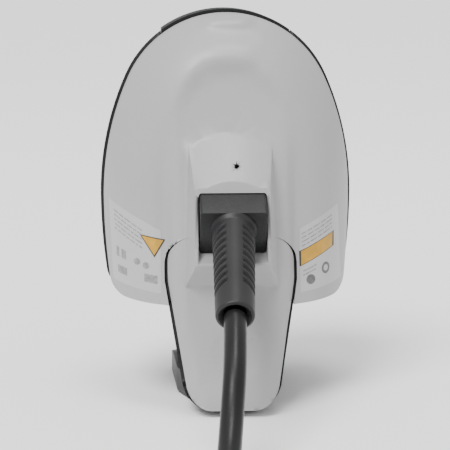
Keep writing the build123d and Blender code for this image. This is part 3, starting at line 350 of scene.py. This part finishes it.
def bootRadiusAt(along, turn):
    share = along / bootLength
    radius = boot["rootRadius"] + (boot["endRadius"] - boot["rootRadius"]) * share
    radius += boot["collar"] * easeStep(1 - along / boot["collarLength"] / 2)
    rounding = max(0.0, boot["lipRound"] - (bootLength - along))
    radius -= boot["lipRound"] - math.sqrt(max(0.0, boot["lipRound"] ** 2 - rounding ** 2))
    return radius - slotCut(turn, along)


deselectAll()
bpy.ops.mesh.primitive_grid_add(x_subdivisions=boot["around"], y_subdivisions=boot["along"],
                                size=2)
bootPiece = bpy.context.object
bootPiece.name = "ribbedBoot"
outerEnd = boot["outerShare"]
for vertex in bootPiece.data.vertices:
    angle = vertex.co.x * math.pi
    fraction = (vertex.co.y + 1) / 2
    turn = abs(math.degrees(angle))
    if fraction <= outerEnd:
        along = bootLength * fraction / outerEnd
        radius = bootRadiusAt(along, turn)
    else:
        # over the lip, down the recess and in to the cable
        inward = (fraction - outerEnd) / (1 - outerEnd)
        lipRadius = boot["endRadius"] - boot["lipRound"]
        radius = lipRadius + (boot["boreRadius"] - lipRadius) * easeStep(inward * 1.6)
        along = bootLength - boot["recess"] * easeStep(inward * 1.2)
    place = bootRoot + bootAxis * along
    place += (bootUp * math.cos(angle) + bootAcross * math.sin(angle)) * radius
    vertex.co = place * mm
bpy.ops.object.mode_set(mode="EDIT")
bpy.ops.mesh.select_all(action="SELECT")
bpy.ops.mesh.remove_doubles(threshold=weldDistance)
bpy.ops.mesh.normals_make_consistent(inside=False)
bpy.ops.object.mode_set(mode="OBJECT")
smoothByAngle(bootPiece, boot["crease"])
dress(bootPiece, "bootRubber")
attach(bootPiece, "scanner")
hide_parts("strain_relief")
print("boot shaped")

# the overmoulded plug, with softened edges
plugBody = {"edge": 0.9, "crease": 35.0}
plug = copyNode("plug_block", "plugBody")
addModifier(plug, "BEVEL", width=plugBody["edge"] * mm, segments=3, limit_method="ANGLE",
            angle_limit=math.radians(50))
applyModifiers(plug)
smoothByAngle(plug, plugBody["crease"])
dress(plug, "plugBlack")
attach(plug, "scanner")
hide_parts("plug_block")

# the far plug's grip, with ridges across its flat sides
usbGrip = {"bottom": 14.0, "width": 15.0, "height": 7.6, "length": 32.0, "ridges": 6,
           "ridgePitch": 2.4, "ridgeWidth": 1.2, "ridgeDepth": 0.5, "ridgeSlope": 0.12,
           "firstRidge": 8.0, "edge": 0.25, "crease": 35.0}
tailA, tailB = Vector((-14.6, 197.3, 0)), Vector((-31.1, 202.6, 0))
usbWay = (tailB - tailA).normalized()
usbTurn = math.atan2(usbWay.y, usbWay.x)
usbRoot = Vector((tailB.x, tailB.y, usbGrip["bottom"] + usbGrip["height"] / 2))
deselectAll()
bpy.ops.mesh.primitive_cube_add(size=1)
grip = bpy.context.object
grip.name = "usbGrip"
grip.scale = (usbGrip["length"] * mm, usbGrip["width"] * mm, usbGrip["height"] * mm)
settle(grip)
for ridge in range(usbGrip["ridges"]):
    low = usbGrip["firstRidge"] + ridge * usbGrip["ridgePitch"] - usbGrip["length"] / 2
    for cutAt in (low * mm, (low + usbGrip["ridgeWidth"]) * mm):
        bpy.ops.object.mode_set(mode="EDIT")
        bpy.ops.mesh.select_all(action="SELECT")
        bpy.ops.mesh.bisect(plane_co=(cutAt, 0, 0), plane_no=(1, 0, 0))
        bpy.ops.object.mode_set(mode="OBJECT")
for ridge in range(usbGrip["ridges"]):
    low = (usbGrip["firstRidge"] + ridge * usbGrip["ridgePitch"] - usbGrip["length"] / 2) * mm
    high = low + usbGrip["ridgeWidth"] * mm
    for polygon in grip.data.polygons:
        sideways = abs(polygon.normal.y) > 0.9 or polygon.normal.z > 0.9
        polygon.select = sideways and low < polygon.center.x < high
    bpy.ops.object.mode_set(mode="EDIT")
    bpy.ops.mesh.select_mode(type="FACE")
    bpy.ops.mesh.inset(thickness=usbGrip["ridgeSlope"] * mm, depth=-usbGrip["ridgeDepth"] * mm,
                       use_boundary=True)
    bpy.ops.mesh.select_all(action="DESELECT")
    bpy.ops.object.mode_set(mode="OBJECT")
addModifier(grip, "BEVEL", width=usbGrip["edge"] * mm, segments=2, limit_method="ANGLE",
            angle_limit=math.radians(40))
applyModifiers(grip)
grip.rotation_euler = (0, 0, usbTurn)
grip.location = (usbRoot + usbWay * usbGrip["length"] / 2) * mm
settle(grip)
smoothByAngle(grip, usbGrip["crease"])
dress(grip, "plugBlack")
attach(grip, "scanner")
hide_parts("usb_plug_grip")

# a strap holds the turns together
strap = {"width": 12.0, "inner": 23.8, "outer": 46.2, "height": 15.4, "thickness": 0.9,
         "corner": 3.4, "crease": 40.0}
deselectAll()
bpy.ops.mesh.primitive_cube_add(size=1)
strapPiece = bpy.context.object
strapPiece.name = "strap"
strapPiece.scale = ((strap["outer"] - strap["inner"]) * mm, strap["width"] * mm,
                    strap["height"] * mm)
strapPiece.location = ((lead["coilCentre"][0] - (strap["outer"] + strap["inner"]) / 2) * mm,
                       lead["coilCentre"][1] * mm, strap["height"] / 2 * mm)
settle(strapPiece)
for polygon in strapPiece.data.polygons:
    polygon.select = abs(polygon.normal.y) > 0.9
bpy.ops.object.mode_set(mode="EDIT")
bpy.ops.mesh.select_mode(type="FACE")
bpy.ops.mesh.delete(type="FACE")
bpy.ops.object.mode_set(mode="OBJECT")
addModifier(strapPiece, "BEVEL", width=strap["corner"] * mm, segments=6, limit_method="ANGLE")
addModifier(strapPiece, "SOLIDIFY", thickness=strap["thickness"] * mm, offset=-1)
applyModifiers(strapPiece)
smoothByAngle(strapPiece, strap["crease"])
dress(strapPiece, "rubber")
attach(strapPiece, "scanner")
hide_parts("cable_tie")
print("plug, grip and strap shaped")


# patches start this far back, and print stands this far proud of the shell
label = {"startAt": 60.0, "stockLift": 0.05, "borderLift": 0.10, "printLift": 0.11,
         "topLift": 0.15, "barThickness": 0.42, "barGap": 0.035}


def layOn(piece, lift, finish):
    # a flat patch that starts behind the shell is laid on its surface
    piece.data.materials.append(finishes[finish])
    addModifier(piece, "SHRINKWRAP", target=shell, wrap_method="PROJECT", use_project_y=True,
                use_negative_direction=True, use_positive_direction=False, offset=lift * mm)
    applyModifiers(piece)


def quadPatch(corners, finish, lift, cuts=12):
    # corners are x and z in millimetres, round the patch
    deselectAll()
    bpy.ops.mesh.primitive_grid_add(x_subdivisions=cuts, y_subdivisions=cuts, size=2)
    piece = bpy.context.object
    first, second, third, fourth = [Vector(corner) for corner in corners]
    for vertex in piece.data.vertices:
        u, v = (vertex.co.x + 1) / 2, (vertex.co.y + 1) / 2
        lowSide, highSide = first * (1 - u) + second * u, fourth * (1 - u) + third * u
        flat = lowSide * (1 - v) + highSide * v
        vertex.co = (flat.x * mm, label["startAt"] * mm, flat.y * mm)
    layOn(piece, lift, finish)
    return piece


def roundPatch(centre, radius, finish, lift, stretch=1.0):
    deselectAll()
    bpy.ops.mesh.primitive_circle_add(vertices=28, radius=1, fill_type="TRIFAN")
    piece = bpy.context.object
    bpy.ops.object.mode_set(mode="EDIT")
    bpy.ops.mesh.select_all(action="SELECT")
    bpy.ops.mesh.subdivide(number_cuts=2)
    bpy.ops.object.mode_set(mode="OBJECT")
    for vertex in piece.data.vertices:
        across, up = centre[0] + radius * vertex.co.x, centre[1] + radius * stretch * vertex.co.y
        vertex.co = (across * mm, label["startAt"] * mm, up * mm)
    layOn(piece, lift, finish)
    return piece


def trianglePatch(corners, finish, lift):
    a, b, c = corners
    return quadPatch([a, b, c, ((a[0] + c[0]) / 2, (a[1] + c[1]) / 2)], finish, lift, cuts=14)


def grow(corners, margin):
    middle = Vector((sum(c[0] for c in corners), sum(c[1] for c in corners))) / len(corners)
    grown = []
    for corner in corners:
        away = Vector(corner) - middle
        grown.append(tuple(middle + away * (1 + margin / away.length)))
    return grown


def textLines(inner, outer, rows, pitch, thickness, finish):
    # plain broken bars stand where small print would be
    patches = []
    for row in range(rows):
        drop = Vector((0, -row * pitch))
        start, end = Vector(inner) + drop, Vector(outer) + drop
        along = 0.0
        while along < 0.96:
            length = random.uniform(0.08, 0.24)
            stop = min(1.0, along + length)
            left, right = start.lerp(end, along), start.lerp(end, stop)
            up = Vector((0, thickness))
            corners = [left, right, right + up, left + up]
            patches.append(quadPatch(corners, finish, label["printLift"], cuts=3))
            along = stop + label["barGap"]
    return patches


def joinPatches(patches, name):
    deselectAll()
    for patch in patches:
        patch.select_set(True)
    bpy.context.view_layer.objects.active = patches[0]
    bpy.ops.object.join()
    piece = bpy.context.object
    piece.name = name
    bpy.ops.object.mode_set(mode="EDIT")
    bpy.ops.mesh.select_all(action="SELECT")
    bpy.ops.mesh.normals_make_consistent(inside=False)
    bpy.ops.object.mode_set(mode="OBJECT")
    # each patch faces the rear
    for polygon in piece.data.polygons:
        if polygon.normal.y < 0:
            polygon.flip()
        polygon.use_smooth = True
    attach(piece, "scanner")


random.seed(11)
leftLabel = {
    "stock": [(23.2, 38.6), (39.2, 40.6), (40.6, 67.6), (23.2, 59.2)],
    "print": ((29.4, 58.6), (39.0, 64.0)), "rows": 5, "pitch": 1.45,
    "triangle": [(29.6, 57.2), (22.4, 56.0), (25.4, 51.0)], "border": 0.75,
    "blocks": [((37.6, 50.2), 0.9, 3.2), ((35.6, 49.6), 1.5, 3.0), ((26.6, 43.0), 4.4, 2.6),
               ((36.0, 44.2), 3.0, 2.6)], "blockRise": 0.5,
    "dots": [((31.2, 48.4), 1.1), ((28.2, 47.4), 1.1)],
}
patches = [quadPatch(leftLabel["stock"], "labelStock", label["stockLift"], cuts=30)]
patches += textLines(*leftLabel["print"], leftLabel["rows"], leftLabel["pitch"],
                     label["barThickness"], "labelPale")
patches.append(trianglePatch(grow(leftLabel["triangle"], leftLabel["border"]), "labelBorder",
                             label["borderLift"]))
patches.append(trianglePatch(leftLabel["triangle"], "labelAmber", label["topLift"]))
for centre, width, height in leftLabel["blocks"]:
    low, high = centre[1] - height / 2, centre[1] + height / 2
    left, right = centre[0] - width / 2, centre[0] + width / 2
    rise = leftLabel["blockRise"]
    corners = [(left, low), (right, low + rise), (right, high + rise), (left, high)]
    patches.append(quadPatch(corners, "labelPale", label["printLift"], cuts=6))
for centre, radius in leftLabel["dots"]:
    patches.append(roundPatch(centre, radius, "labelPale", label["printLift"]))
joinPatches(patches, "labelLeft")

rightLabel = {
    "stock": [(-23.2, 38.6), (-38.8, 40.6), (-37.4, 66.2), (-23.2, 59.4)],
    "print": ((-23.8, 57.4), (-35.0, 62.6)), "rows": 4, "pitch": 1.35,
    "strip": [(-23.6, 47.4), (-35.0, 52.4), (-35.2, 57.0), (-23.6, 52.0)],
    "border": 0.7, "lowPrint": ((-24.2, 45.2), (-29.0, 47.0)), "dot": ((-26.9, 42.6), 1.6),
    "ring": ((-32.4, 45.6), 1.5), "ringHole": 0.8, "ringStretch": 1.3,
}
patches = [quadPatch(rightLabel["stock"], "labelStock", label["stockLift"], cuts=30)]
patches += textLines(*rightLabel["print"], rightLabel["rows"], rightLabel["pitch"],
                     label["barThickness"], "labelPale")
patches.append(quadPatch(grow(rightLabel["strip"], rightLabel["border"]), "labelBorder",
                         label["borderLift"], cuts=14))
patches.append(quadPatch(rightLabel["strip"], "labelAmber", label["topLift"], cuts=14))
patches += textLines(*rightLabel["lowPrint"], 2, 1.3, 0.4, "labelPale")
patches.append(roundPatch(*rightLabel["dot"], "labelGrey", label["printLift"]))
patches.append(roundPatch(*rightLabel["ring"], "labelGrey", label["printLift"],
                          stretch=rightLabel["ringStretch"]))
patches.append(roundPatch(rightLabel["ring"][0], rightLabel["ringHole"], "labelStock",
                          label["topLift"], stretch=rightLabel["ringStretch"]))
joinPatches(patches, "labelRight")
print("labels laid")

studio = {
    "floor": 30.0, "paper": (0.93, 0.93, 0.93),
    # a broad high key from the upper left, and place, size and power of two soft lights
    "keyFrom": (0.75, 1.1, 1.75), "keyStrength": 3.6, "keySpread": 28.0,
    "lights": [((-1.3, 1.0, 0.6), 1.0, 2.0), ((-0.1, 0.1, 1.6), 0.5, 9.0)],
    "aim": (0.0, 0.0, 0.06), "surround": 0.85,
}
deselectAll()
bpy.ops.mesh.primitive_plane_add(size=studio["floor"])
floor = bpy.context.object
floor.name = "floor"
finishes["paper"] = moulding("paper", studio["paper"], 0.9, grain=200, depth=0.01, mottle=0.003)
dress(floor, "paper")
for number, (place, size, power) in enumerate(studio["lights"]):
    bpy.ops.object.light_add(type="AREA", location=place)
    light = bpy.context.object
    light.name = "softLight" + str(number)
    light.data.size = size
    light.data.energy = power
    towards = Vector(studio["aim"]) - Vector(place)
    light.rotation_euler = towards.to_track_quat("-Z", "Y").to_euler()
bpy.ops.object.light_add(type="SUN", location=studio["keyFrom"])
keyLight = bpy.context.object
keyLight.name = "keyLight"
keyLight.data.energy = studio["keyStrength"]
keyLight.data.angle = math.radians(studio["keySpread"])
keyLight.rotation_euler = Vector(studio["keyFrom"]).to_track_quat("Z", "Y").to_euler()
world = bpy.data.worlds.new("surround")
world.use_nodes = True
world.node_tree.nodes["Background"].inputs["Color"].default_value = (1, 1, 1, 1)
world.node_tree.nodes["Background"].inputs["Strength"].default_value = studio["surround"]
bpy.context.scene.world = world
print("studio lit")
